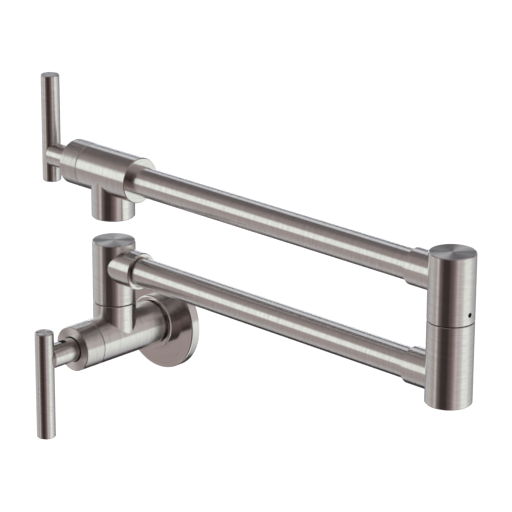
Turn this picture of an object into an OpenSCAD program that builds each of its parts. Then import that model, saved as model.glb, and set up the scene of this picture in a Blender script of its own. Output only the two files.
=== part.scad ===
// Wall mounted pot filler with two folding arms and two quarter turn valves.
// Millimetres. The origin is the centre of the wall flange's back face: the wall is the
// plane Y = 0, +Y goes into the wall and +Z is up. The arms are folded along +X.

/* [Wall flange] */
// Diameter of the wall flange
flange_d = 66; // [56:1:80]
// Thickness of the flange plate
flange_t = 6.8; // [5:0.1:10]
// Diameter of the raised collar on the flange
flange_collar_d = 36; // [32:0.5:44]
// Height of the raised collar above the plate
flange_collar_h = 5.7; // [3:0.1:9]

/* [Water inlet] */
// Outer diameter of the half inch inlet nipple
inlet_d = 21; // [20:0.1:22]
// Bore of the inlet nipple
inlet_bore_d = 15; // [12:0.5:16]
// Length of the nipple that enters the wall
inlet_reach = 15; // [10:1:30]
// Depth of the nipple's thread in the valve body
inlet_engagement = 13; // [9:0.5:15]

/* [Valve barrels] */
// Diameter of both horizontal valve barrels
barrel_d = 29.5; // [28.5:0.5:33]
// Wall of the barrel round the cartridge chamber
barrel_wall = 4.15; // [3.5:0.05:4.6]
// Distance from the wall to the axis of the fixed column
wall_to_column = 45.2; // [43:0.2:60]
// Distance from the fixed column's axis to the front face of the wall valve
wall_face_offset = 37.7; // [36:0.1:42]
// Distance from the spout's axis to the outer face of the spout valve
spout_face_offset = 34.9; // [34:0.1:40]
// Distance from the spout's axis to the barrel end where the arm enters
spout_back_offset = 25.5; // [24:0.1:32]
// Length of each bonnet
bonnet_len = 15.2; // [14:0.2:16]

/* [Columns] */
// Diameter of the swivel columns and of the spout
column_d = 28; // [26:0.5:29]
// Wall of a swivel column round its spindle
column_wall = 4; // [3.5:0.1:5]
// Height of the base swivel's seam above the inlet axis
base_seam_h = 24; // [22:0.5:40]
// Height of an arm's axis above its swivel seam
seam_to_arm = 25.7; // [25:0.1:32]
// Height of the elbow seam above the lower arm's axis
arm_to_elbow_seam = 35.4; // [33:0.2:44]
// Length of a column beyond the arm's axis
column_over = 15.5; // [15:0.1:22]
// Thickness of the closed end of a column
column_roof = 6.5; // [4:0.1:7]
// Drop from the upper arm's axis to the mouth of the spout
spout_drop = 29; // [27:0.5:34]

/* [Arms] */
// Distance between swivel axes along each arm
arm_length = 282.6; // [180:0.2:360]
// Outer diameter of the arm tubes
arm_tube_d = 19; // [17:0.2:20]
// Wall of the arm tubes
arm_tube_wall = 1.5; // [1:0.1:2.5]
// Wall of the collars at the elbow ends of the arms
tip_collar_wall = 1.8; // [1.2:0.1:2.4]
// Reach of those collars from the elbow axis
tip_collar_reach = 28; // [22:0.5:60]
// Wall of the collar at the wall end of the lower arm
root_collar_wall = 2.7; // [2:0.1:3]
// Reach of that collar from the column's axis
root_collar_reach = 25.7; // [20:0.1:40]

/* [Swivels] */
// Wall of the hollow swivel spindles
spindle_wall = 3.5; // [2.8:0.1:4]
// Height of the retaining screws above the swivel seams
retaining_screw_h = 6.2; // [5.6:0.1:6.6]
// Diameter of the retaining screws
retaining_screw_d = 3; // [2.5:0.1:3.4]
// Thickness of the O-rings on the spindles
spindle_ring_t = 1.6; // [1.2:0.1:1.8]

/* [Handles] */
// Diameter of the handle bars
bar_d = 12.2; // [9:0.2:13]
// Length of a bar on its long side
bar_long = 53.5; // [40:0.5:80]
// Length of a bar on its short side
bar_short = 18; // [14:0.5:30]
// Distance from the bonnet's face to the axis of the bar
handle_stand = 23.6; // [22:0.2:32]
// Diameter of the handle hubs
hub_d = 15.6; // [14.4:0.2:18]
// Radial gap between a hub and its bonnet
hub_gap = 0.7; // [0.4:0.1:1.2]
// Depth of the hub inside the bonnet
hub_insert = 5; // [3:0.2:7]
// Diameter of the hub's set screw
set_screw_d = 5; // [3:0.1:5]

/* [Cartridges] */
// Diameter of the cartridge stem
stem_d = 9; // [8:0.1:10]
// Diameter of the stem's splined end
stem_end_d = 8; // [6.6:0.1:8.8]
// Diameter of the cartridge neck
neck_d = 14; // [13:0.1:15]
// Thickness of each ceramic disc
disc_t = 2.8; // [2:0.1:3]

/* [Aerator] */
// Outer diameter of the aerator housing
aerator_d = 22; // [19:0.5:23]
// Length of the aerator housing
aerator_len = 9.6; // [8:0.2:11]
// Width of one square hole in the flow straightener
grid_hole = 1.5; // [1.2:0.1:1.8]
// Thickness of the ribs between those holes
grid_rib = 0.7; // [0.6:0.1:1]

/* [Hidden] */
$fn = 96;

// Colours of the finishes
brushed = "#b9b1ac";
brass = "#b08d4f";
ceramic = "#f1efe8";
rubber = "#26272a";
glide = "#e7e4da";
steel = "#8d9094";
plastic = "#d9dadb";

// Overrun of every cut past the face that it opens
over = 1;
// Broken edges of turned ends, of the flange's rim and of small pieces
edge_break = 0.5;
rim_break = 1.2;
small_break = 0.3;
// Radial clearances: running fit, slip fit, and air under a seal
running_fit = 0.05;
slip_fit = 0.1;
seal_air = 0.03;

// Flange: hollow back, hub round the nipple, gasket groove
flange_back_depth = 4.2;
flange_hub_wall = 2.6;
flange_rim_wall = 5.6;
flange_bore_gap = 0.3;
inlet_thread_run = 2;
neck_relief = 0.6;
gasket_w = 2.4;
gasket_t = 1.6;
gasket_inset = 1.5;
neck_groove_w = 1.3;
neck_groove_depth = 1.7;
flange_h = flange_t + flange_collar_h;

// Valve chamber, measured as depth behind the bonnet's face
bonnet_thread_wall = 2.75;
spigot_len = 6.2;
shoulder_len = 4.6;
cage_len = 18.4;
seat_len = 2.5;
cage_step = 0.5;
cage_wall = 1.9;
seat_wall = 3.4;
passage_d = 13;
neck_front_gap = 3.4;
hub_recess_extra = 2.3;
chamber_d = barrel_d - 2 * barrel_wall;
bonnet_thread_d = barrel_d - 2 * bonnet_thread_wall;
hub_recess_d = hub_d + 2 * hub_gap;
neck_front = hub_insert + neck_front_gap;
hub_recess_depth = neck_front + hub_recess_extra;
spigot_end = bonnet_len + spigot_len;
shoulder_end = spigot_end + shoulder_len;
cage_end = shoulder_end + cage_len;
chamber_end = cage_end + seat_len;
shoulder_d = chamber_d - 2 * slip_fit;
cage_d = shoulder_d - 2 * cage_step;
disc_d = cage_d - 2 * cage_wall;
disc_slip = 0.2;
moving_disc_d = disc_d - 2 * disc_slip;
disc_film = 0.02;
fixed_disc_back = cage_end - disc_t;
moving_disc_front = fixed_disc_back - disc_film;
moving_disc_back = moving_disc_front - disc_t;
window_len = 7;
window_w = 8;
window_front = shoulder_end + edge_break;
// Passages of the discs: two, nearly a quarter of a ring each
disc_ports = 2;
port_rim = 1.6;
port_hub_d = 4.4;
port_angle = 80;

// Stem: driver flange, tongue, and the groove of its O-ring
driver_d = 12;
driver_t = 4;
tongue_w = 4;
tongue_h = 1.2;
stem_ring_t = 1.5;
stem_ring_groove_w = 2.1;
stem_ring_depth = 19;
hub_end_wall = 4.5;
stem_end_gap = 0.3;
driver_back = moving_disc_back;
driver_front = driver_back - driver_t;
stem_ring_r = stem_d / 2 + running_fit - seal_air - stem_ring_t / 2;
hub_bore_reach = handle_stand - bar_d / 2 - hub_end_wall;
stem_reach = hub_bore_reach - stem_end_gap;

// Handle: cone and saddle at the bar, spigot, and set screw
hub_cone_len = 2.6;
hub_end_inset = 0.6;
hub_end_tuck = 0.1;
hub_spigot_d = 7;
hub_spigot_len = 8.4;
set_screw_back = 15.1;
set_screw_recess = 1.2;
set_screw_socket = 2.5;
set_screw_socket_depth = 1.6;
set_screw_h = handle_stand - set_screw_back;

// Swivels: gap at the seam, washer, spindle grooves, retaining screw
seam_gap = 0.5;
washer_air = 0.04;
washer_inset = 0.9;
washer_bore_gap = 0.3;
foot_step = 1.5;
foot_web = 1.6;
ring_pitch = 3.5;
ring_land = 2.4;
ring_groove_extra = 0.6;
retaining_groove_w = 2.8;
retaining_groove_depth = 2;
dog_d = 2;
dog_air = 0.35;
dog_shoulder = 0.3;
retaining_recess = 1.1;
retaining_socket = 1.73;
retaining_socket_depth = 1.2;
spindle_clear = 0.6;
seat_cover = 0.5;
head_bore_d = column_d - 2 * column_wall;
spindle_d = head_bore_d - 2 * running_fit;
spindle_bore_d = spindle_d - 2 * spindle_wall;
foot_d = head_bore_d - 2 * foot_step;
foot_len = base_seam_h - chamber_d / 2 - foot_web;
spindle_top = seam_to_arm - arm_tube_d / 2 - spindle_clear;
spindle_ring_r = head_bore_d / 2 - seal_air - spindle_ring_t / 2;
ring_groove_floor_r = spindle_ring_r - spindle_ring_t / 2 - seal_air;
ring_groove_w = spindle_ring_t + ring_groove_extra;
ring_2 = spindle_top - ring_land;
ring_1 = ring_2 - ring_pitch;
retaining_floor_r = spindle_d / 2 - retaining_groove_depth;

// Arms: seats of the tubes, collars, and the socket in the spout valve
arm_bore_d = arm_tube_d - 2 * arm_tube_wall;
tip_collar_d = arm_tube_d + 2 * tip_collar_wall;
root_collar_d = arm_tube_d + 2 * root_collar_wall;
root_step_gap = 0.9;
root_step_depth = 1.6;
tube_socket_depth = 8;
tube_seat = sqrt(pow(column_d / 2, 2) - pow(arm_tube_d / 2, 2)) - seat_cover;

// Aerator: recess in the mouth, washer, straightener
mouth_recess = 0.6;
aerator_wall = 1.8;
aerator_washer_t = 1.5;
aerator_insert_inset = 1.6;
aerator_lip = 1;
spout_bore_d = 15;
aerator_bore_d = aerator_d - 2 * aerator_wall;
grid_pitch = grid_hole + grid_rib;
grid_margin = 1.2;

// Turn from the arm's side of a column to its far side, where the retaining screw is
half_turn = 180;

// Places of the pieces
front_y = -(wall_to_column + wall_face_offset);
lower_axis_z = base_seam_h + seam_to_arm;
elbow_seam_z = lower_axis_z + arm_to_elbow_seam;
upper_axis_z = elbow_seam_z + seam_to_arm;
mouth_z = upper_axis_z - spout_drop;
elbow_x = arm_length;

// Stands a piece on the fixed column's axis at the base seam
module at_base() {
    translate([0, -wall_to_column, base_seam_h]) children();
}

// Stands a piece on the elbow's axis at the elbow seam
module at_elbow() {
    translate([elbow_x, -wall_to_column, elbow_seam_z]) children();
}

// Points a piece out of the wall valve: its +Z is away from the wall, its +Y is up
module at_wall_valve() {
    translate([0, front_y, 0]) rotate([90, 0, 0]) children();
}

// Points a piece out of the spout valve: its +Z is along -X, its +Y is down
module at_spout_valve() {
    translate([-spout_face_offset, -wall_to_column, upper_axis_z]) rotate([-90, 0, 90]) children();
}

// Lays a piece along +X at the height of the lower or the upper arm
module along_arm(z) {
    translate([0, -wall_to_column, z]) rotate([0, 90, 0]) children();
}

// Plain rod along Z between two heights
module rod(d, from, to) {
    translate([0, 0, from]) cylinder(d = d, h = to - from);
}

// Turned rod along Z with both ends broken
module turned_rod(d, from, to, low_break, high_break) {
    rotate_extrude() polygon([
        [0, from],
        [d / 2 - low_break, from],
        [d / 2, from + low_break],
        [d / 2, to - high_break],
        [d / 2 - high_break, to],
        [0, to]
    ]);
}

// Ring of square section along Z
module ring(outer_d, inner_d, from, to) {
    difference() {
        rod(outer_d, from, to);
        rod(inner_d, from - over, to + over);
    }
}

// Ring of round section
module o_ring(centre_r, t, z) {
    translate([0, 0, z]) rotate_extrude() translate([centre_r, 0]) circle(d = t, $fn = 32);
}

// Grub screw along Z, its driven end at "to", its point at "from"
module grub_screw(d, from, to, socket, socket_depth) {
    difference() {
        turned_rod(d, from, to, small_break, small_break);
        translate([0, 0, to - socket_depth]) cylinder(d = socket, h = socket_depth + over, $fn = 6);
    }
}

// Wall flange, turned, with a hollow back and a rounded collar
module flange_profile() {
    r = flange_d / 2;
    c = flange_collar_d / 2;
    hole = inlet_d / 2 + flange_bore_gap;
    hub = hole + flange_hub_wall;
    rim = r - flange_rim_wall;
    difference() {
        union() {
            polygon([
                [hole, 0],
                [hub, 0],
                [hub, flange_back_depth],
                [rim, flange_back_depth],
                [rim, 0],
                [r - small_break, 0],
                [r, small_break],
                [r, flange_t - rim_break],
                [r - rim_break, flange_t],
                [c, flange_t],
                [c, flange_h - rim_break],
                [c - rim_break, flange_h],
                [hole, flange_h]
            ]);
            translate([r - rim_break, flange_t - rim_break]) circle(r = rim_break, $fn = 48);
            translate([c - rim_break, flange_h - rim_break]) circle(r = rim_break, $fn = 48);
        }
        translate([r - gasket_inset - gasket_w, -over]) square([gasket_w, gasket_t + over]);
    }
}

module wall_flange() {
    color(brushed) rotate([90, 0, 0]) rotate_extrude() flange_profile();
}

module flange_gasket() {
    outer = flange_d - 2 * gasket_inset;
    color(rubber) rotate([90, 0, 0]) ring(outer, outer - 2 * gasket_w, 0, gasket_t);
}

// Inlet nipple: two threaded ends with a plain neck between them
module inlet_nipple() {
    tip = flange_h + inlet_engagement;
    color(brass) rotate([90, 0, 0]) difference() {
        turned_rod(inlet_d, -inlet_reach, tip, rim_break, edge_break);
        rod(inlet_bore_d, -inlet_reach - over, tip + over);
        ring(inlet_d + over, inlet_d - 2 * neck_relief, 0, flange_h - inlet_thread_run);
    }
}

// Bores that take a valve's cartridge, along +Z to the bonnet's face
module chamber_bores(reach) {
    rod(bonnet_thread_d, -spigot_end, -bonnet_len + over);
    rod(chamber_d, -chamber_end, -spigot_end + over);
    rod(passage_d, -reach, -chamber_end + over);
}

// Barrel of a valve between the back end and the bonnet
module barrel(back) {
    turned_rod(barrel_d, -back, -bonnet_len, edge_break, small_break);
}

module valve_body() {
    back = wall_to_column + wall_face_offset - flange_h;
    socket = back - inlet_engagement;
    color(brushed) difference() {
        union() {
            at_wall_valve() barrel(back);
            at_base() turned_rod(column_d, -base_seam_h, -seam_gap / 2, small_break, small_break);
        }
        at_wall_valve() {
            chamber_bores(socket + over);
            rod(inlet_d, -back - over, -socket);
            difference() {
                rod(barrel_d + over, -back - over, -back + neck_groove_w);
                rod(barrel_d - 2 * neck_groove_depth, -back - 2 * over, -back + 2 * neck_groove_w);
            }
        }
        at_base() {
            rod(foot_d, -foot_len, over);
            rod(spindle_bore_d, -base_seam_h, over);
        }
    }
}

// Bonnet, along +Z to its outer face
module bonnet() {
    difference() {
        union() {
            turned_rod(barrel_d, -bonnet_len, 0, small_break, edge_break);
            rod(bonnet_thread_d, -spigot_end, -bonnet_len + edge_break);
        }
        rod(neck_d + 2 * slip_fit, -spigot_end - over, over);
        rod(hub_recess_d, -hub_recess_depth, over);
    }
}

// Brass cartridge housing: neck, clamped shoulder, and a cage with four windows
module cartridge_housing() {
    difference() {
        union() {
            turned_rod(neck_d, -spigot_end - small_break, -neck_front, 0, small_break);
            rod(shoulder_d, -shoulder_end, -spigot_end);
            rod(cage_d, -cage_end, -shoulder_end + small_break);
        }
        rod(stem_d + 2 * running_fit, -cage_end, 0);
        rod(driver_d + 2 * slip_fit, -driver_back, -driver_front + disc_film);
        rod(disc_d, -cage_end - over, -moving_disc_back);
        for (a = [0, 90])
            rotate(a) translate([-cage_d, -window_w / 2, -window_front - window_len])
                cube([2 * cage_d, window_w, window_len]);
    }
}

// Sector of a ring, centred on +X
module ring_sector(inner_d, outer_d, angle, from, to) {
    reach = outer_d;
    intersection() {
        ring(outer_d, inner_d, from, to);
        translate([0, 0, from - over]) linear_extrude(to - from + 2 * over) polygon([
            [0, 0],
            [reach * cos(angle / 2), -reach * sin(angle / 2)],
            [reach, 0],
            [reach * cos(angle / 2), reach * sin(angle / 2)]
        ]);
    }
}

// Ceramic disc with its water passages
module ceramic_disc(d, from, to, turn) {
    difference() {
        rod(d, from, to);
        for (i = [0 : disc_ports - 1])
            rotate(turn + i * 360 / disc_ports)
                ring_sector(port_hub_d, moving_disc_d - 2 * port_rim, port_angle, from - over, to + over);
    }
}

module fixed_disc() {
    ceramic_disc(disc_d, -cage_end, -fixed_disc_back, 0);
}

// The moving disc closes the passages at rest and carries a slot for the stem's tongue
module moving_disc() {
    difference() {
        ceramic_disc(moving_disc_d, -moving_disc_front, -moving_disc_back, 90);
        translate([-moving_disc_d, -tongue_w / 2, -moving_disc_back - tongue_h])
            cube([2 * moving_disc_d, tongue_w, tongue_h + over]);
    }
}

module seat_seal() {
    ring(disc_d, disc_d - 2 * seat_wall, -chamber_end, -cage_end);
}

// Stem, along +Z: tongue, driver flange, journal with its O-ring groove, splined end
module stem() {
    difference() {
        union() {
            rod(driver_d, -driver_back, -driver_front);
            rod(stem_d, -driver_front - small_break, -hub_insert - small_break);
            turned_rod(stem_end_d, -hub_insert - edge_break - small_break, stem_reach, 0, small_break);
            intersection() {
                rod(driver_d, -driver_back - tongue_h, -driver_back + small_break);
                translate([-driver_d, -tongue_w / 2, -driver_back - tongue_h])
                    cube([2 * driver_d, tongue_w, tongue_h + small_break]);
            }
        }
        ring(
            stem_d + over, 2 * stem_ring_r - stem_ring_t - 2 * seal_air,
            -stem_ring_depth - stem_ring_groove_w / 2, -stem_ring_depth + stem_ring_groove_w / 2
        );
    }
}

module stem_o_ring() {
    o_ring(stem_ring_r, stem_ring_t, -stem_ring_depth);
}

// Handle bar, square to the stem; its long side is along -Y
module bar_solid() {
    translate([0, 0, handle_stand]) rotate([-90, 0, 0])
        turned_rod(bar_d, -bar_long, bar_short, edge_break, edge_break);
}

module handle_bar() {
    seat = handle_stand - bar_d / 2;
    difference() {
        bar_solid();
        rod(hub_spigot_d, seat - over, seat + hub_spigot_len);
    }
}

// Hub, along +Z: its coned end is saddled round the bar
module handle_hub() {
    tip = handle_stand - hub_end_inset;
    seat = handle_stand - bar_d / 2;
    difference() {
        union() {
            difference() {
                rotate_extrude() polygon([
                    [0, -hub_insert],
                    [hub_d / 2 - edge_break, -hub_insert],
                    [hub_d / 2, -hub_insert + edge_break],
                    [hub_d / 2, tip - hub_cone_len],
                    [bar_d / 2 - hub_end_tuck, tip],
                    [0, tip]
                ]);
                translate([0, 0, handle_stand]) rotate([-90, 0, 0]) rod(bar_d, -hub_d, hub_d);
            }
            rod(hub_spigot_d, seat - over, seat + hub_spigot_len);
        }
        rod(stem_end_d, -hub_insert - over, hub_bore_reach);
        translate([0, 0, set_screw_h]) rotate([-90, 0, 0]) rod(set_screw_d, 0, hub_d);
    }
}

module handle_set_screw() {
    translate([0, 0, set_screw_h]) rotate([-90, 0, 0])
        grub_screw(
            set_screw_d, stem_end_d / 2, hub_d / 2 - set_screw_recess,
            set_screw_socket, set_screw_socket_depth
        );
}

// Hollow swivel spindle: its seam is at Z = 0, its foot is screwed into the column below
module spindle() {
    difference() {
        union() {
            turned_rod(foot_d, -foot_len, small_break - seam_gap / 2, small_break, 0);
            turned_rod(spindle_d, -seam_gap / 2, spindle_top, 0, edge_break);
        }
        rod(spindle_bore_d, -foot_len - over, spindle_top + over);
        ring(
            spindle_d + over, 2 * retaining_floor_r,
            retaining_screw_h - retaining_groove_w / 2, retaining_screw_h + retaining_groove_w / 2
        );
        for (z = [ring_1, ring_2])
            ring(spindle_d + over, 2 * ring_groove_floor_r, z - ring_groove_w / 2, z + ring_groove_w / 2);
    }
}

module spindle_o_rings() {
    for (z = [ring_1, ring_2])
        o_ring(spindle_ring_r, spindle_ring_t, z);
}

// Thin washer that carries the moving column, set back from the outside
module glide_washer() {
    bore = spindle_d + 2 * washer_bore_gap;
    ring(column_d - 2 * washer_inset, bore, -seam_gap / 2, seam_gap / 2 - washer_air);
}

// Socket of an arm tube in a column, with the water way through to the column's axis
module tube_port() {
    rod(arm_bore_d, 0, tube_seat + over);
    rod(arm_tube_d, tube_seat, column_d);
}

// Moving column above a seam: blind bore for the spindle, arm to +X, screw hole at an angle
module swivel_column(screw_turn) {
    top = seam_to_arm + column_over;
    difference() {
        turned_rod(column_d, seam_gap / 2, top, small_break, edge_break);
        rod(head_bore_d, -over, top - column_roof);
        translate([0, 0, seam_to_arm]) rotate([0, 90, 0]) tube_port();
        rotate(screw_turn) translate([0, 0, retaining_screw_h]) rotate([0, 90, 0])
            rod(retaining_screw_d, 0, column_d);
    }
}

// Retaining screw with a dog point in the spindle's groove
module retaining_screw(screw_turn) {
    shoulder = head_bore_d / 2 + dog_shoulder;
    rotate(screw_turn) translate([0, 0, retaining_screw_h]) rotate([0, 90, 0]) union() {
        grub_screw(
            retaining_screw_d, shoulder, column_d / 2 - retaining_recess,
            retaining_socket, retaining_socket_depth
        );
        rod(dog_d, retaining_floor_r + dog_air, shoulder + small_break);
    }
}

// Collar on an arm tube, saddled on its column at the origin; an open step at its end
module collar(d, reach, step_gap, step_depth) {
    difference() {
        turned_rod(d, 0, reach, 0, edge_break);
        rod(arm_tube_d, -over, reach + over);
        rod(arm_tube_d + 2 * step_gap, reach - step_depth, reach + over);
        rotate([0, 90, 0]) rod(column_d, -column_d, column_d);
    }
}

module wall_bonnet() {
    color(brushed) at_wall_valve() bonnet();
}

module wall_cartridge_housing() {
    color(brass) at_wall_valve() cartridge_housing();
}

module wall_fixed_disc() {
    color(ceramic) at_wall_valve() fixed_disc();
}

module wall_seat_seal() {
    color(rubber) at_wall_valve() seat_seal();
}

module base_spindle() {
    color(brass) at_base() spindle();
}

module base_o_rings() {
    color(rubber) at_base() spindle_o_rings();
}

module base_glide_washer() {
    color(glide) at_base() glide_washer();
}

module base_swivel_head() {
    color(brushed) at_base() swivel_column(half_turn);
}

module base_retaining_screw() {
    color(steel) at_base() retaining_screw(half_turn);
}

module lower_root_collar() {
    color(brushed) along_arm(lower_axis_z)
        collar(root_collar_d, root_collar_reach, root_step_gap, root_step_depth);
}

module lower_arm_tube() {
    color(brushed) along_arm(lower_axis_z) ring(arm_tube_d, arm_bore_d, tube_seat, elbow_x - tube_seat);
}

// The collars at the elbow point back along the arm
module lower_tip_collar() {
    color(brushed) translate([elbow_x, 0, 0]) along_arm(lower_axis_z) rotate([0, half_turn, 0])
        collar(tip_collar_d, tip_collar_reach, 0, 0);
}

// Fixed column of the elbow: closed below, the spindle's foot above
module elbow_lower_column() {
    bottom = -arm_to_elbow_seam - column_over;
    color(brushed) at_elbow() difference() {
        turned_rod(column_d, bottom, -seam_gap / 2, edge_break, small_break);
        rod(foot_d, -foot_len, over);
        rod(spindle_bore_d, bottom + column_roof, over);
        translate([0, 0, -arm_to_elbow_seam]) rotate([0, -90, 0]) tube_port();
    }
}

module elbow_spindle() {
    color(brass) at_elbow() spindle();
}

module elbow_o_rings() {
    color(rubber) at_elbow() spindle_o_rings();
}

module elbow_glide_washer() {
    color(glide) at_elbow() glide_washer();
}

module elbow_upper_column() {
    color(brushed) at_elbow() rotate(half_turn) swivel_column(half_turn);
}

module elbow_retaining_screw() {
    color(steel) at_elbow() rotate(half_turn) retaining_screw(half_turn);
}

module upper_root_collar() {
    color(brushed) translate([elbow_x, 0, 0]) along_arm(upper_axis_z) rotate([0, half_turn, 0])
        collar(tip_collar_d, tip_collar_reach, 0, 0);
}

module upper_arm_tube() {
    color(brushed) along_arm(upper_axis_z)
        ring(arm_tube_d, arm_bore_d, spout_back_offset - tube_socket_depth, elbow_x - tube_seat);
}

// Spout valve: barrel along the arm and the spout below it
module spout_valve_body() {
    back = spout_face_offset + spout_back_offset;
    socket = back - tube_socket_depth;
    seat = mouth_z + mouth_recess + aerator_len + aerator_washer_t;
    color(brushed) difference() {
        union() {
            at_spout_valve() barrel(back);
            translate([0, -wall_to_column, 0]) turned_rod(column_d, mouth_z, upper_axis_z, edge_break, 0);
        }
        at_spout_valve() {
            chamber_bores(socket + over);
            rod(arm_tube_d, -back - over, -socket);
        }
        translate([0, -wall_to_column, 0]) {
            rod(spout_bore_d, seat - over, upper_axis_z);
            rod(aerator_d, mouth_z - over, seat);
        }
    }
}

module spout_bonnet() {
    color(brushed) at_spout_valve() bonnet();
}

module spout_cartridge_housing() {
    color(brass) at_spout_valve() cartridge_housing();
}

module spout_fixed_disc() {
    color(ceramic) at_spout_valve() fixed_disc();
}

module spout_seat_seal() {
    color(rubber) at_spout_valve() seat_seal();
}

// Stands a piece of the aerator in the spout, Z = 0 at the mouth of its housing
module at_mouth() {
    translate([0, -wall_to_column, mouth_z + mouth_recess]) children();
}

// Threaded ring with a lip that holds the straightener
module aerator_housing() {
    color(brushed) at_mouth() difference() {
        turned_rod(aerator_d, 0, aerator_len, small_break, small_break);
        rod(aerator_bore_d, aerator_insert_inset, aerator_len + over);
        rod(aerator_bore_d - 2 * aerator_lip, -over, aerator_insert_inset + over);
    }
}

// Flow straightener: a disc with a grid of square holes
module aerator_insert() {
    reach_r = aerator_bore_d / 2 - aerator_lip - grid_margin;
    steps = floor(reach_r / grid_pitch);
    color(plastic) at_mouth() difference() {
        rod(aerator_bore_d, aerator_insert_inset, aerator_len);
        for (i = [-steps : steps], j = [-steps : steps])
            if (norm([i, j]) * grid_pitch + grid_hole / 2 < reach_r)
                translate([i * grid_pitch, j * grid_pitch, aerator_len / 2])
                    cube([grid_hole, grid_hole, aerator_len + over], center = true);
    }
}

module aerator_washer() {
    color(rubber) at_mouth() ring(aerator_d, spout_bore_d, aerator_len, aerator_len + aerator_washer_t);
}

module wall_stem() {
    color(steel) at_wall_valve() stem();
}

module wall_moving_disc() {
    color(ceramic) at_wall_valve() moving_disc();
}

module wall_stem_o_ring() {
    color(rubber) at_wall_valve() stem_o_ring();
}

module wall_handle_hub() {
    color(brushed) at_wall_valve() handle_hub();
}

module wall_handle_bar() {
    color(brushed) at_wall_valve() handle_bar();
}

module wall_handle_set_screw() {
    color(steel) at_wall_valve() handle_set_screw();
}

module spout_stem() {
    color(steel) at_spout_valve() stem();
}

module spout_moving_disc() {
    color(ceramic) at_spout_valve() moving_disc();
}

module spout_stem_o_ring() {
    color(rubber) at_spout_valve() stem_o_ring();
}

module spout_handle_hub() {
    color(brushed) at_spout_valve() handle_hub();
}

module spout_handle_bar() {
    color(brushed) at_spout_valve() handle_bar();
}

module spout_handle_set_screw() {
    color(steel) at_spout_valve() handle_set_screw();
}

wall_flange();
flange_gasket();
inlet_nipple();
valve_body();
wall_bonnet();
wall_cartridge_housing();
wall_fixed_disc();
wall_seat_seal();
base_spindle();
base_o_rings();
base_glide_washer();
base_swivel_head();
base_retaining_screw();
lower_root_collar();
lower_arm_tube();
lower_tip_collar();
elbow_lower_column();
elbow_spindle();
elbow_o_rings();
elbow_glide_washer();
elbow_upper_column();
elbow_retaining_screw();
upper_root_collar();
upper_arm_tube();
spout_valve_body();
spout_bonnet();
spout_cartridge_housing();
spout_fixed_disc();
spout_seat_seal();
aerator_housing();
aerator_insert();
aerator_washer();
wall_stem();
wall_moving_disc();
wall_stem_o_ring();
wall_handle_hub();
wall_handle_bar();
wall_handle_set_screw();
spout_stem();
spout_moving_disc();
spout_stem_o_ring();
spout_handle_hub();
spout_handle_bar();
spout_handle_set_screw();
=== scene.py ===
"""Wall mounted pot filler in brushed nickel: studio, camera, finishes and the pipe thread of the inlet nipple."""
import math

import bmesh
import bpy
from mathutils import Matrix, Vector


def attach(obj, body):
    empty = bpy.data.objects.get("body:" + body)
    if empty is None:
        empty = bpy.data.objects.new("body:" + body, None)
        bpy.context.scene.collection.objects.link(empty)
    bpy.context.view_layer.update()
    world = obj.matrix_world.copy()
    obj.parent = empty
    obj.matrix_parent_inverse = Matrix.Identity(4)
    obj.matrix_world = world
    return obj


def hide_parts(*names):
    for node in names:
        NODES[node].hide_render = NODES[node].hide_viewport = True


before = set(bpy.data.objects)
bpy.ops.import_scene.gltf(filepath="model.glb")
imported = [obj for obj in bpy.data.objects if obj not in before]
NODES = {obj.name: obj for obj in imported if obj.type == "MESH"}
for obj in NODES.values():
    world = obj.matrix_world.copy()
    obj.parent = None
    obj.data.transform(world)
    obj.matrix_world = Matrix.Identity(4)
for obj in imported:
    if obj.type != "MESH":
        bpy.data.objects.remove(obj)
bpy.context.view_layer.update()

# ---------------------------------------------------------------- measures of the fitting, in metres
INLET_AXIS = (Vector((0.0, 0.0, 0.0)), Vector((0.0, 1.0, 0.0)))
COLUMN_Y = -0.0452
COLUMN_R = 0.0140
END_SQUARENESS = 0.9
ELBOW_X = 0.2826
LOWER_ARM_Z = 0.0497
UPPER_ARM_Z = 0.1108
WALL_BAR_Y = -0.1065
SPOUT_BAR_X = -0.0585
X_AXIS, Y_AXIS, Z_AXIS = Vector((1, 0, 0)), Vector((0, 1, 0)), Vector((0, 0, 1))


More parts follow.
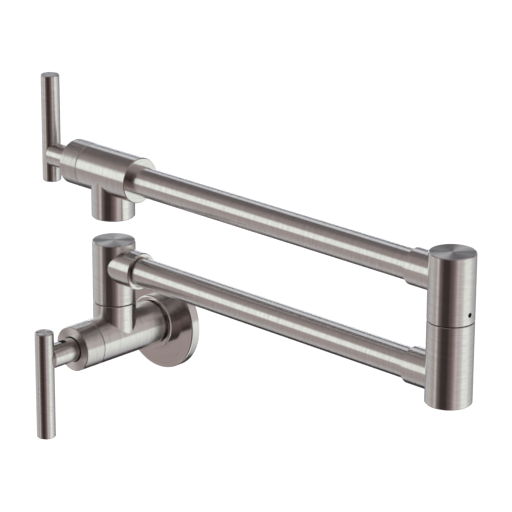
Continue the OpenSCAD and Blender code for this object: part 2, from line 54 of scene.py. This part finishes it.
# ---------------------------------------------------------------- node building
class Graph:
    """Adds and links the nodes of one material, world or geometry tree."""

    def __init__(self, tree):
        self.tree = tree

    def node(self, kind, inputs=None, **settings):
        n = self.tree.nodes.new(kind)
        for key, value in settings.items():
            setattr(n, key, value)
        for key, value in (inputs or {}).items():
            self.feed(n.inputs[key], value)
        return n

    def feed(self, socket, value):
        if isinstance(value, bpy.types.NodeSocket):
            self.tree.links.new(value, socket)
        else:
            socket.default_value = value

    def math(self, operation, *values, clamp=False):
        n = self.node("ShaderNodeMath", operation=operation, use_clamp=clamp)
        for i, value in enumerate(values):
            self.feed(n.inputs[i], value)
        return n.outputs[0]

    def vector(self, operation, *values):
        n = self.node("ShaderNodeVectorMath", operation=operation)
        for i, value in enumerate(values):
            self.feed(n.inputs["Scale"] if operation == "SCALE" and i == 1 else n.inputs[i], value)
        return n.outputs["Value" if operation in ("DOT_PRODUCT", "LENGTH") else "Vector"]

    def between(self, factor, a, b, kind="RGBA"):
        n = self.node("ShaderNodeMix", data_type=kind)
        ending = {"RGBA": "Color", "VECTOR": "Vector", "FLOAT": "Float"}[kind]
        by_id = {s.identifier: s for s in n.inputs}
        self.feed(by_id["Factor_Float"], factor)
        self.feed(by_id["A_" + ending], a)
        self.feed(by_id["B_" + ending], b)
        return [s for s in n.outputs if s.identifier == "Result_" + ending][0]

    def remap(self, value, low, high, to_low, to_high, smooth=False):
        n = self.node("ShaderNodeMapRange", interpolation_type="SMOOTHSTEP" if smooth else "LINEAR")
        ends = {"Value": value, "From Min": low, "From Max": high, "To Min": to_low, "To Max": to_high}
        for key, v in ends.items():
            self.feed(n.inputs[key], v)
        return n.outputs["Result"]

    def ramp(self, factor, stops):
        n = self.node("ShaderNodeValToRGB")
        elements = n.color_ramp.elements
        while len(elements) > 1:
            elements.remove(elements[-1])
        for i, (position, colour) in enumerate(stops):
            e = elements[0] if i == 0 else elements.new(position)
            e.position = position
            e.color = (*colour, 1.0)
        self.feed(n.inputs["Fac"], factor)
        return n.outputs["Color"]


def new_material(name):
    material = bpy.data.materials.new(name)
    material.use_nodes = True
    material.node_tree.nodes.clear()
    g = Graph(material.node_tree)
    out = g.node("ShaderNodeOutputMaterial")
    return material, g, out


# ---------------------------------------------------------------- studio
def studio():
    """White surround for the eye of the camera, a pale floor, a ring of soft boxes and flags, one soft key light."""
    scene = bpy.context.scene
    scene.view_settings.view_transform = "Standard"
    world = bpy.data.worlds.new("white_surround")
    scene.world = world
    world.use_nodes = True
    world.node_tree.nodes.clear()
    g = Graph(world.node_tree)
    path = g.node("ShaderNodeLightPath")
    seen = g.math("MAXIMUM", path.outputs["Is Camera Ray"], path.outputs["Is Glossy Ray"])
    seen = g.math("MAXIMUM", seen, path.outputs["Is Transmission Ray"])
    strength = g.remap(seen, 0.0, 1.0, WORLD_FILL, 1.0)
    back = g.node("ShaderNodeBackground", {"Color": (1, 1, 1, 1), "Strength": strength})
    out = g.node("ShaderNodeOutputWorld")
    g.feed(out.inputs["Surface"], back.outputs[0])

    floor = plane("pale_floor", FLOOR_SIZE, Vector((0, 0, FLOOR_Z)))
    material, g, out = new_material("pale_floor")
    path = g.node("ShaderNodeLightPath")
    speck = g.node("ShaderNodeTexNoise", {"Vector": g.node("ShaderNodeTexCoord").outputs["Object"], "Scale": 40.0})
    colour = g.ramp(speck.outputs["Fac"], ((0.3, (0.86, 0.86, 0.86)), (0.7, (0.9, 0.9, 0.9))))
    matte = g.node("ShaderNodeBsdfDiffuse", {"Color": colour})
    shown = g.math("MULTIPLY", path.outputs["Is Camera Ray"], FLOOR_LIFT)
    lift = g.node("ShaderNodeEmission", {"Color": (1, 1, 1, 1), "Strength": shown})
    both = g.node("ShaderNodeAddShader", {0: matte.outputs[0], 1: lift.outputs[0]})
    g.feed(out.inputs["Surface"], both.outputs[0])
    floor.data.materials.append(material)
    floor.visible_glossy = False

    ring = sphere("ring_of_soft_boxes", STUDIO_R)
    material, g, out = new_material("ring_of_soft_boxes")
    place = g.node("ShaderNodeTexCoord").outputs["Object"]
    direction = g.vector("NORMALIZE", place)
    turn = g.node("ShaderNodeTexGradient", {"Vector": direction}, gradient_type="RADIAL").outputs["Fac"]
    height = g.node("ShaderNodeSeparateXYZ", {0: direction}).outputs["Z"]
    low, level, high = (g.ramp(turn, compass(stops)) for stops in (LOW_BELT, LEVEL_BELT, HIGH_BELT))
    colour = g.between(over(g, height, *LEVEL_FROM), low, level)
    colour = g.between(over(g, height, *HIGH_FROM), colour, high)
    colour = g.between(over(g, height, *CEILING_FROM), colour, (*CEILING, 1.0))
    for heights, turns, shade in (TOP_FLAG, UNDER_FLAG):
        flag = g.math("MULTIPLY", bar(g, height, *heights), bar(g, turn, *turns, degrees=False))
        colour = g.between(flag, colour, (*shade, 1.0))
    glow = g.node("ShaderNodeEmission", {"Color": colour, "Strength": 1.0})
    g.feed(out.inputs["Surface"], glow.outputs[0])
    ring.data.materials.append(material)
    ring.visible_camera = False
    ring.visible_shadow = False

    lamp = bpy.data.lights.new("soft_key", "AREA")
    lamp.energy = KEY_POWER
    lamp.shape = "RECTANGLE"
    lamp.size, lamp.size_y = KEY_SIZE
    key = bpy.data.objects.new("soft_key", lamp)
    key.location = KEY_PLACE
    key.rotation_euler = (KEY_AIM - key.location).to_track_quat("-Z", "Y").to_euler()
    key.visible_glossy = False
    bpy.context.scene.collection.objects.link(key)


FLOOR_Z, FLOOR_SIZE, FLOOR_LIFT = -0.62, 14.0, 0.62
WORLD_FILL = 0.55
STUDIO_R = 4.0
KEY_POWER, KEY_SIZE = 26.0, (1.6, 1.2)
KEY_PLACE, KEY_AIM = Vector((1.6, 0.9, 1.9)), Vector((0.14, -0.05, 0.05))
# Heights in degrees over which one belt gives way to the next
LEVEL_FROM, HIGH_FROM, CEILING_FROM = (-7, -1), (21, 29), (52, 80)
# Dark flags: heights (from, to, softness) in degrees, parts of a turn (from, to, softness), colour
TOP_FLAG = ((12.0, 26.0, 3.0), (272 / 360, 352 / 360, 8 / 360), (0.05, 0.05, 0.06))
UNDER_FLAG = ((-89.0, -34.0, 6.0), (272 / 360, 372 / 360, 8 / 360), (0.06, 0.05, 0.05))
# Brightness round the horizon, by azimuth in degrees from +X towards +Y: red, green, blue
LOW_BELT = (
    (-180, (0.62, 0.65, 0.68)), (-172, (0.62, 0.63, 0.64)), (-143, (0.56, 0.54, 0.53)), (-137, (0.44, 0.37, 0.36)),
    (-124, (0.42, 0.35, 0.34)), (-119, (0.72, 0.72, 0.70)), (-112, (0.72, 0.72, 0.70)), (-107, (0.24, 0.18, 0.17)),
    (-95, (0.15, 0.11, 0.10)), (-86, (0.05, 0.04, 0.037)), (-61, (0.05, 0.04, 0.037)), (-52, (0.14, 0.10, 0.095)),
    (-42, (0.20, 0.15, 0.145)), (-33, (0.34, 0.27, 0.26)), (-25, (0.55, 0.46, 0.45)), (-20, (0.78, 0.71, 0.70)),
    (-11, (0.62, 0.57, 0.57)), (7, (0.80, 0.80, 0.79)), (13, (1.14, 1.22, 1.16)), (40, (1.14, 1.22, 1.16)),
    (47, (0.92, 0.97, 0.94)), (62, (0.72, 0.73, 0.73)), (90, (0.48, 0.48, 0.51)), (112, (0.16, 0.15, 0.17)),
    (150, (0.14, 0.13, 0.15)), (166, (0.56, 0.60, 0.66)), (180, (0.62, 0.65, 0.68)),
)
LEVEL_BELT = (
    (-180, (1.10, 1.17, 1.12)), (-112, (1.16, 1.23, 1.18)), (-107, (0.24, 0.18, 0.17)), (-95, (0.15, 0.11, 0.10)),
    (-86, (0.05, 0.04, 0.037)), (-61, (0.04, 0.03, 0.028)), (-36, (0.07, 0.05, 0.047)), (-28, (0.30, 0.24, 0.23)),
    (-20, (0.70, 0.62, 0.61)), (-11, (0.62, 0.57, 0.57)), (7, (0.80, 0.80, 0.79)), (15, (0.72, 0.70, 0.69)),
    (52, (0.62, 0.58, 0.57)), (60, (0.56, 0.53, 0.52)), (84, (0.40, 0.37, 0.37)), (100, (0.50, 0.50, 0.54)),
    (112, (1.25, 1.32, 1.40)), (154, (1.25, 1.32, 1.40)), (165, (1.05, 1.11, 1.12)), (180, (1.10, 1.17, 1.12)),
)
HIGH_BELT = (
    (-180, (0.16, 0.14, 0.14)), (-163, (0.20, 0.17, 0.165)), (-150, (0.36, 0.31, 0.30)),
    (-125, (0.42, 0.37, 0.36)), (-100, (0.20, 0.16, 0.15)), (-36, (0.08, 0.06, 0.055)), (-15, (0.45, 0.40, 0.39)),
    (57, (0.56, 0.50, 0.49)), (66, (0.10, 0.08, 0.075)), (103, (0.05, 0.04, 0.036)), (127, (0.10, 0.09, 0.09)),
    (133, (0.85, 0.88, 0.92)), (147, (0.85, 0.88, 0.92)), (153, (0.17, 0.15, 0.15)), (180, (0.16, 0.14, 0.14)),
)
CEILING = (0.30, 0.29, 0.31)


def over(g, height, start, full):
    """Zero below one height and one above another, both in degrees."""
    return g.remap(height, math.sin(math.radians(start)), math.sin(math.radians(full)), 0.0, 1.0, smooth=True)


def bar(g, value, low, high, soft, degrees=True):
    """One between two heights (or turns) and zero outside them, with soft ends."""
    edges = (low, low + soft, high - soft, high)
    if degrees:
        edges = [math.sin(math.radians(e)) for e in edges]
    rise = g.remap(value, edges[0], edges[1], 0.0, 1.0, smooth=True)
    fall = g.remap(value, edges[2], edges[3], 1.0, 0.0, smooth=True)
    return g.math("MULTIPLY", rise, fall)


def compass(stops):
    """Turns azimuths of -180 to 180 degrees into positions on a ramp."""
    return [((azimuth + 180.0) / 360.0, colour) for azimuth, colour in stops]


def plane(name, size, centre):
    mesh = bpy.data.meshes.new(name)
    h = size / 2
    corners = [centre + Vector(c) for c in ((-h, -h, 0), (h, -h, 0), (h, h, 0), (-h, h, 0))]
    mesh.from_pydata(corners, [], [(0, 1, 2, 3)])
    o = bpy.data.objects.new(name, mesh)
    bpy.context.scene.collection.objects.link(o)
    return o


def sphere(name, radius):
    mesh = bpy.data.meshes.new(name)
    b = bmesh.new()
    bmesh.ops.create_uvsphere(b, u_segments=64, v_segments=32, radius=radius)
    b.to_mesh(mesh)
    b.free()
    o = bpy.data.objects.new(name, mesh)
    bpy.context.scene.collection.objects.link(o)
    return o


def camera():
    """The photograph's point of view, solved from its edges."""
    place = Vector((1.20034, -1.15903, 0.62554))
    forward = Vector((-0.65526917, 0.67990697, -0.32916384))
    right = Vector((0.71888818, 0.69510989, 0.00469312))
    up = Vector((-0.23199593, 0.23355674, 0.94426116))
    focal_px, centre_x, centre_y, frame_px, sensor = 2681.73, 255.43, 254.48, 512, 36.0
    half = frame_px / 2
    aim = forward + right * ((half - centre_x) / focal_px) - up * ((half - centre_y) / focal_px)
    aim.normalize()
    side = (right - aim * right.dot(aim)).normalized()
    top = side.cross(aim)
    data = bpy.data.cameras.new("camera")
    data.sensor_width = sensor
    data.lens = sensor * focal_px / frame_px
    data.clip_start, data.clip_end = 0.05, 50.0
    o = bpy.data.objects.new("camera", data)
    o.matrix_world = Matrix.Translation(place) @ Matrix((side, top, -aim)).transposed().to_4x4()
    bpy.context.scene.collection.objects.link(o)
    bpy.context.scene.camera = o


# ---------------------------------------------------------------- finishes
def lathe_group():
    """Shared group: where a point lies on a piece turned about an axis, and which way its brushing spreads light."""
    tree = bpy.data.node_groups.new("turned_surface", "ShaderNodeTree")
    for name in ("Centre", "Axis"):
        tree.interface.new_socket(name, in_out="INPUT", socket_type="NodeSocketVector")
    for name, kind in (("Tangent", "NodeSocketVector"), ("Along", "NodeSocketFloat"), ("Around", "NodeSocketVector"),
                       ("End", "NodeSocketFloat")):
        tree.interface.new_socket(name, in_out="OUTPUT", socket_type=kind)
    g = Graph(tree)
    given, out = g.node("NodeGroupInput"), g.node("NodeGroupOutput")
    where = g.node("ShaderNodeTexCoord")
    offset = g.vector("SUBTRACT", where.outputs["Object"], given.outputs["Centre"])
    along = g.vector("DOT_PRODUCT", offset, given.outputs["Axis"])
    out_from_axis = g.vector("SUBTRACT", offset, g.vector("SCALE", given.outputs["Axis"], along))
    radius = g.vector("LENGTH", out_from_axis)
    around = g.vector("NORMALIZE", out_from_axis)
    groove = g.vector("CROSS_PRODUCT", given.outputs["Axis"], around)
    spread = g.vector("NORMALIZE", g.vector("CROSS_PRODUCT", groove, where.outputs["Normal"]))
    in_world = g.node("ShaderNodeVectorTransform", {"Vector": spread}, vector_type="VECTOR",
                      convert_from="OBJECT", convert_to="WORLD")
    g.feed(out.inputs["Tangent"], in_world.outputs[0])
    g.feed(out.inputs["Along"], g.math("ADD", along, radius))
    g.feed(out.inputs["Around"], around)
    squareness = g.math("ABSOLUTE", g.vector("DOT_PRODUCT", where.outputs["Normal"], given.outputs["Axis"]))
    g.feed(out.inputs["End"], g.math("GREATER_THAN", squareness, END_SQUARENESS))
    return tree


def turned(g, centre, axis):
    n = g.node("ShaderNodeGroup", node_tree=LATHE)
    n.inputs["Centre"].default_value = centre
    n.inputs["Axis"].default_value = axis
    return [n.outputs[k] for k in ("Tangent", "Along", "Around", "End")]


def brushed_nickel(name, centre, axis, branch=None, seed=0.0, rough_ends_and_painted_fan=False):
    """Brushed nickel turned about an axis; a branch is a second turned part, told from the first by its place.

    A fan marks the pieces whose ends are turned coarsely: their ends get a rougher, more stretched brushing, and
    spokes of light and shade painted into the base colour as a painted highlight.
    """
    material, g, out = new_material(name)
    tangent, along, around, on_end = turned(g, centre, axis)
    if branch:
        centre_2, axis_2, above = branch
        tangent_2, along_2, around_2, on_end_2 = turned(g, centre_2, axis_2)
        place = g.node("ShaderNodeTexCoord").outputs["Object"]
        flat = g.vector("MULTIPLY", g.vector("SUBTRACT", place, centre_2), Vector((1, 1, 1)) - axis_2)
        near = g.math("LESS_THAN", g.vector("LENGTH", flat), COLUMN_R + 0.00008)
        height = g.node("ShaderNodeSeparateXYZ", {0: place}).outputs["Z"]
        side = g.math("GREATER_THAN" if above > 0 else "LESS_THAN", height, centre_2.z)
        on_branch = g.math("MULTIPLY", near, side)
        tangent = g.between(on_branch, tangent, tangent_2, "VECTOR")
        along = g.between(on_branch, along, along_2, "FLOAT")
        around = g.between(on_branch, around, around_2, "VECTOR")
        on_end = g.between(on_branch, on_end, on_end_2, "FLOAT")

    def streaks(per_metre, bend, detail):
        drift = g.vector("ADD", g.vector("SCALE", around, bend), (seed, seed * 1.7, 0.0))
        line = g.node("ShaderNodeCombineXYZ", {"X": g.math("MULTIPLY", along, per_metre)})
        point = g.vector("ADD", drift, line.outputs[0])
        noise = g.node("ShaderNodeTexNoise", {"Vector": point, "Scale": 1.0, "Detail": detail, "Roughness": 0.7})
        return noise.outputs["Fac"]

    fine = g.math("MULTIPLY", streaks(2600.0, 1.6, 4.0), 0.75)
    tone = g.math("ADD", fine, g.math("MULTIPLY", streaks(420.0, 0.9, 3.0), 0.25))
    colour = g.ramp(tone, ((0.30, NICKEL_DARK), (0.5, NICKEL), (0.70, NICKEL_LIGHT)))
    sides, end, stretch = FANNED_FINISH if rough_ends_and_painted_fan else PLAIN_FINISH
    on_side, at_end = g.remap(tone, 0.3, 0.7, *sides), g.remap(tone, 0.3, 0.7, end + 0.02, end)
    roughness = g.between(on_end, on_side, at_end, "FLOAT")
    # Painted highlight and shade: the fan of spokes on the ends is painted into the base colour, not reflected
    if rough_ends_and_painted_fan:
        across, beside = (Y_AXIS, Z_AXIS) if axis.x else (Z_AXIS, X_AXIS) if axis.y else (X_AXIS, Y_AXIS)
        parts = [g.vector("DOT_PRODUCT", around, way) for way in (beside, across)]
        angle = g.math("ARCTAN2", *parts)
        painted_spokes = g.math("COSINE", g.math("ADD", g.math("MULTIPLY", angle, float(PAINTED_FAN_SPOKES)), PAINTED_FAN_TURN))
        painted_fan_light_and_shade = g.math("MULTIPLY", g.math("MULTIPLY", painted_spokes, PAINTED_FAN_DEPTH), on_end)
        colour = g.vector("SCALE", colour, g.math("ADD", painted_fan_light_and_shade, 1.0))
    grooves = g.node("ShaderNodeBump", {"Height": tone, "Distance": 0.00003, "Strength": 0.45})
    shader = g.node("ShaderNodeBsdfPrincipled", {
        "Base Color": colour, "Metallic": 1.0, "Roughness": roughness, "Anisotropic": stretch,
        "Tangent": tangent, "Normal": grooves.outputs[0]})
    g.feed(out.inputs["Surface"], shader.outputs[0])
    return material


# Painted highlight on the turned ends, spokes of light and shade painted into the base colour and fixed on the
# piece: its spokes, where the first one points, and how strongly they show
PAINTED_FAN_SPOKES, PAINTED_FAN_TURN, PAINTED_FAN_DEPTH = 4, math.radians(-41), 0.20
# Roughness of the sides where the streaks are dark and light, of the ends, and how far the brushing stretches light
PLAIN_FINISH = ((0.215, 0.175), 0.10, 0.82)
FANNED_FINISH = ((0.26, 0.225), 0.28, 0.97)
NICKEL_DARK = (0.57, 0.54, 0.53)
NICKEL = (0.67, 0.64, 0.63)
NICKEL_LIGHT = (0.77, 0.745, 0.735)


def worked_metal(name, dark, light, roughness, centre, axis):
    """Plain turned brass or steel with fine tool marks."""
    material, g, out = new_material(name)
    tangent, along, around, _ = turned(g, centre, axis)
    line = g.vector("SCALE", (1.0, 0.3, 0.0), g.math("MULTIPLY", along, 2200.0))
    point = g.vector("ADD", g.vector("SCALE", around, 0.8), line)
    marks = g.node("ShaderNodeTexNoise", {"Vector": point, "Scale": 1.0, "Detail": 3.0}).outputs["Fac"]
    colour = g.ramp(marks, ((0.3, dark), (0.7, light)))
    bump = g.node("ShaderNodeBump", {"Height": marks, "Distance": 0.00002, "Strength": 0.4})
    shader = g.node("ShaderNodeBsdfPrincipled", {
        "Base Color": colour, "Metallic": 1.0, "Roughness": g.remap(marks, 0.3, 0.7, roughness + 0.06, roughness),
        "Anisotropic": 0.5, "Tangent": tangent, "Normal": bump.outputs[0]})
    g.feed(out.inputs["Surface"], shader.outputs[0])
    return material


def moulded(name, dark, light, roughness, grain, specular=0.5):
    """Rubber, acetal, ceramic and moulded plastic: a fine even grain."""
    material, g, out = new_material(name)
    place = g.node("ShaderNodeTexCoord").outputs["Object"]
    noise = g.node("ShaderNodeTexNoise", {"Vector": place, "Scale": grain, "Detail": 4.0}).outputs["Fac"]
    colour = g.ramp(noise, ((0.35, dark), (0.65, light)))
    bump = g.node("ShaderNodeBump", {"Height": noise, "Distance": 0.00003, "Strength": 0.35})
    shader = g.node("ShaderNodeBsdfPrincipled", {
        "Base Color": colour, "Roughness": g.remap(noise, 0.3, 0.7, roughness - 0.05, roughness + 0.05),
        "Normal": bump.outputs[0]})
    shader.inputs["Specular IOR Level"].default_value = specular
    g.feed(out.inputs["Surface"], shader.outputs[0])
    return material


def dress(node, material):
    o = NODES[node]
    o.data.materials.clear()
    o.data.materials.append(material)


def axis_at(x=0.0, y=0.0, z=0.0):
    return Vector((x, y, z))


LATHE = lathe_group()
# Pieces whose ends are rougher and carry the painted highlight fan
ROUGH_ENDS_AND_PAINTED_FAN = ("base_swivel_head", "elbow_upper_column", "elbow_lower_column", "wall_bonnet", "spout_bonnet",
          "wall_handle_bar", "spout_handle_bar")


def finishes():
    base = axis_at(0, COLUMN_Y, 0)
    elbow = axis_at(ELBOW_X, COLUMN_Y, 0)
    lower, upper = axis_at(0, COLUMN_Y, LOWER_ARM_Z), axis_at(0, COLUMN_Y, UPPER_ARM_Z)
    inlet = INLET_AXIS
    brushed = {
        "wall_flange": inlet, "wall_bonnet": inlet, "wall_handle_hub": inlet,
        "base_swivel_head": (base, Z_AXIS),
        "elbow_lower_column": (elbow, Z_AXIS), "elbow_upper_column": (elbow, Z_AXIS),
        "lower_root_collar": (lower, X_AXIS), "lower_arm_tube": (lower, X_AXIS), "lower_tip_collar": (lower, X_AXIS),
        "upper_root_collar": (upper, X_AXIS), "upper_arm_tube": (upper, X_AXIS), "spout_bonnet": (upper, X_AXIS),
        "spout_handle_hub": (upper, X_AXIS), "aerator_housing": (base, Z_AXIS),
        "wall_handle_bar": (axis_at(0, WALL_BAR_Y, 0), Z_AXIS),
        "spout_handle_bar": (axis_at(SPOUT_BAR_X, COLUMN_Y, 0), Z_AXIS),
    }
    for i, (node, (centre, axis)) in enumerate(brushed.items()):
        dress(node, brushed_nickel("brushed_nickel_" + node, centre, axis, seed=3.1 * i, rough_ends_and_painted_fan=node in ROUGH_ENDS_AND_PAINTED_FAN))
    dress("valve_body", brushed_nickel("brushed_nickel_valve_body", *inlet, branch=(base, Z_AXIS, 1), seed=41.0))
    dress("spout_valve_body", brushed_nickel("brushed_nickel_spout_valve_body", upper, X_AXIS,
                                             branch=(upper, Z_AXIS, -1), seed=57.0))
    for side, (centre, axis) in (("wall", inlet), ("spout", (upper, X_AXIS))):
        dress(side + "_cartridge_housing", worked_metal("brass_" + side, BRASS_DARK, BRASS, 0.28, centre, axis))
        dress(side + "_stem", worked_metal("turned_steel_" + side, STEEL_DARK, STEEL, 0.3, centre, axis))
        black = worked_metal("black_set_screw_" + side, BLACK_DARK, BLACK, 0.4, centre, axis)
        dress(side + "_handle_set_screw", black)
    for side, centre in (("base", base), ("elbow", elbow)):
        dress(side + "_spindle", worked_metal("brass_spindle_" + side, BRASS_DARK, BRASS, 0.25, centre, Z_AXIS))
        dress(side + "_retaining_screw", worked_metal("black_screw_" + side, BLACK_DARK, BLACK, 0.4, centre, Z_AXIS))
    threaded_nipple(worked_metal("brass_nipple", BRASS_DARK, BRASS, 0.3, *inlet))
    rubber = moulded("black_rubber", (0.018, 0.018, 0.019), (0.035, 0.035, 0.037), 0.62, 2600.0, 0.35)
    for node in ("flange_gasket", "wall_seat_seal", "spout_seat_seal", "base_o_rings", "elbow_o_rings",
                 "aerator_washer", "wall_stem_o_ring", "spout_stem_o_ring"):
        dress(node, rubber)
    acetal = moulded("dark_acetal", (0.03, 0.03, 0.03), (0.05, 0.05, 0.05), 0.45, 1800.0)
    for node in ("base_glide_washer", "elbow_glide_washer"):
        dress(node, acetal)
    lapped = moulded("lapped_ceramic", (0.86, 0.85, 0.81), (0.93, 0.92, 0.89), 0.12, 3200.0, 0.6)
    for node in ("wall_fixed_disc", "wall_moving_disc", "spout_fixed_disc", "spout_moving_disc"):
        dress(node, lapped)
    dress("aerator_insert", moulded("grey_moulded_plastic", (0.55, 0.56, 0.57), (0.66, 0.67, 0.68), 0.45, 1500.0))


BRASS_DARK, BRASS = (0.62, 0.45, 0.20), (0.80, 0.62, 0.32)
BLACK_DARK, BLACK = (0.03, 0.03, 0.03), (0.06, 0.06, 0.06)
STEEL_DARK, STEEL = (0.36, 0.36, 0.37), (0.50, 0.50, 0.51)

# ---------------------------------------------------------------- pipe thread of the inlet nipple
THREAD_PITCH = 0.001814
THREAD_DEPTH = 0.00116
THREAD_FADE = 0.0012
THREAD_START, THREAD_STOP, THREAD_FLOOR = 0.0004, 0.0144, 0.0090
NIPPLE_LEAD = 0.0012
NIPPLE_R, NIPPLE_BORE_R, NIPPLE_NECK_R = 0.0105, 0.0075, 0.0099
NIPPLE_TIP, NIPPLE_NECK_END, NIPPLE_INNER = 0.0150, -0.0105, -0.0255


def turned_blank(name, outline, around=96):
    """Closed ring of the outline (radius, y), turned about the Y axis."""
    mesh = bpy.data.meshes.new(name)
    b = bmesh.new()
    turns = [2 * math.pi * k / around for k in range(around)]
    rows = [[b.verts.new((r * math.cos(a), y, r * math.sin(a))) for a in turns] for r, y in outline]
    for i, row in enumerate(rows):
        after = rows[(i + 1) % len(rows)]
        for k in range(around):
            m = (k + 1) % around
            b.faces.new((row[k], row[m], after[m], after[k]))
    bmesh.ops.recalc_face_normals(b, faces=b.faces)
    b.to_mesh(mesh)
    b.free()
    o = bpy.data.objects.new(name, mesh)
    bpy.context.scene.collection.objects.link(o)
    return o


def thread_tree(material):
    """Geometry nodes that cut a helical groove into a blank turned about Y, fading out at both ends."""
    tree = bpy.data.node_groups.new("pipe_thread", "GeometryNodeTree")
    tree.is_modifier = True
    tree.interface.new_socket("Geometry", in_out="INPUT", socket_type="NodeSocketGeometry")
    for name in ("Pitch", "Depth", "Start", "Stop", "Floor"):
        tree.interface.new_socket(name, in_out="INPUT", socket_type="NodeSocketFloat")
    tree.interface.new_socket("Geometry", in_out="OUTPUT", socket_type="NodeSocketGeometry")
    g = Graph(tree)
    given, out = g.node("NodeGroupInput"), g.node("NodeGroupOutput")
    place = g.node("GeometryNodeInputPosition").outputs[0]
    x, y, z = g.node("ShaderNodeSeparateXYZ", {0: place}).outputs
    radial = g.vector("MULTIPLY", place, (1.0, 0.0, 1.0))
    part_turn = g.math("DIVIDE", g.math("ARCTAN2", z, x), 2 * math.pi)
    phase = g.math("ADD", g.math("DIVIDE", y, given.outputs["Pitch"]), part_turn)
    flank = g.math("MULTIPLY", g.math("PINGPONG", phase, 0.5), 2.0)
    flank = g.remap(flank, 0.10, 0.90, 1.0, 0.0)
    begin = g.remap(y, given.outputs["Start"], g.math("ADD", given.outputs["Start"], THREAD_FADE), 0.0, 1.0)
    finish = g.remap(y, g.math("SUBTRACT", given.outputs["Stop"], THREAD_FADE), given.outputs["Stop"], 1.0, 0.0)
    outside = g.math("GREATER_THAN", g.vector("LENGTH", radial), given.outputs["Floor"])
    cut = g.math("MULTIPLY", g.math("MULTIPLY", flank, begin), g.math("MULTIPLY", finish, outside))
    sink = g.math("MULTIPLY", g.math("MULTIPLY", cut, given.outputs["Depth"]), -1.0)
    offset = g.vector("SCALE", g.vector("NORMALIZE", radial), sink)
    moved = g.node("GeometryNodeSetPosition", {"Geometry": given.outputs["Geometry"], "Offset": offset})
    whole = g.node("GeometryNodeRealizeInstances", {0: moved.outputs[0]})
    coated = g.node("GeometryNodeSetMaterial", {"Geometry": whole.outputs[0], "Material": material})
    g.feed(out.inputs["Geometry"], coated.outputs[0])
    return tree


def threaded_nipple(material):
    """The nipple with its half inch pipe thread, in place of the plain one."""
    rows = 170
    outline = [(NIPPLE_BORE_R, NIPPLE_TIP), (NIPPLE_R - NIPPLE_LEAD, NIPPLE_TIP)]
    for k in range(rows + 1):
        y = NIPPLE_TIP - (NIPPLE_TIP - THREAD_START) * k / rows
        outline.append((min(NIPPLE_R, NIPPLE_R - NIPPLE_LEAD + (NIPPLE_TIP - y) + 0.00001), y))
    outline += [(NIPPLE_R, 0.0), (NIPPLE_NECK_R, -0.00002), (NIPPLE_NECK_R, NIPPLE_NECK_END),
                (NIPPLE_R, NIPPLE_NECK_END - 0.00002), (NIPPLE_R, NIPPLE_INNER + 0.0005),
                (NIPPLE_R - 0.0005, NIPPLE_INNER), (NIPPLE_BORE_R, NIPPLE_INNER)]
    blank = turned_blank("inlet_nipple_threaded", outline)
    blank.data.materials.append(material)
    modifier = blank.modifiers.new("thread", "NODES")
    modifier.node_group = thread_tree(material)
    wanted = {"Pitch": THREAD_PITCH, "Depth": THREAD_DEPTH, "Start": THREAD_START, "Stop": THREAD_STOP,
              "Floor": THREAD_FLOOR}
    for item in modifier.node_group.interface.items_tree:
        if item.in_out == "INPUT" and item.name in wanted:
            modifier[item.identifier] = wanted[item.name]
    bpy.context.view_layer.update()
    mesh = bpy.data.meshes.new_from_object(blank.evaluated_get(bpy.context.evaluated_depsgraph_get()))
    blank.modifiers.remove(modifier)
    blank.data = mesh
    for face in mesh.polygons:
        face.use_smooth = False
    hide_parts("inlet_nipple")
    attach(blank, "wall_body")


camera()
studio()
finishes()
